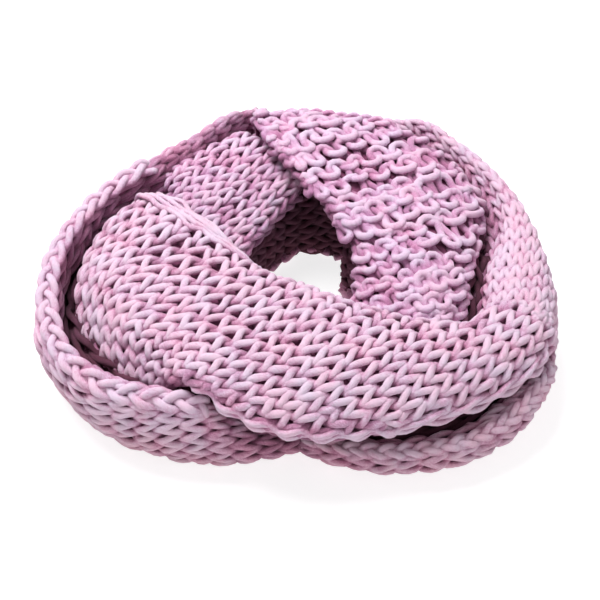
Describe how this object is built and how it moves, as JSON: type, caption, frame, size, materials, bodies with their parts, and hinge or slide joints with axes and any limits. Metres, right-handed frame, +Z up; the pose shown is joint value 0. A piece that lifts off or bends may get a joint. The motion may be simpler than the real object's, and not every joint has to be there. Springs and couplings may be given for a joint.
{
  "type": "infinity scarf",
  "caption": "Chunky knit infinity scarf wound twice and laid down as a loose round nest, its stretches crossing over each other round an open middle.",
  "frame": {"origin": "Middle of the bounding box on the underside, on the surface that the scarf lies on.", "axes": "+Z up; +X to the right as seen from the front, where the wide stretch crosses; +Y to the back."},
  "size_m": [0.3254, 0.2976, 0.1],
  "materials": {
    "knit_face": "soft matte yarn, lilac pink, knit side",
    "knit_purl": "soft matte yarn, lilac pink, purl side",
    "knit_inner": "soft matte yarn, plum in the shade of the layers above"
  },
  "bodies": {
    "root": {"front_stretch": "knit_face", "right_stretch": "knit_face", "lower_front_stretch": "knit_face", "left_stretch": "knit_face", "purl_stretch": "knit_purl", "back_stretch": "knit_face", "hidden_layers": "knit_inner"}
  },
  "joints": []
}
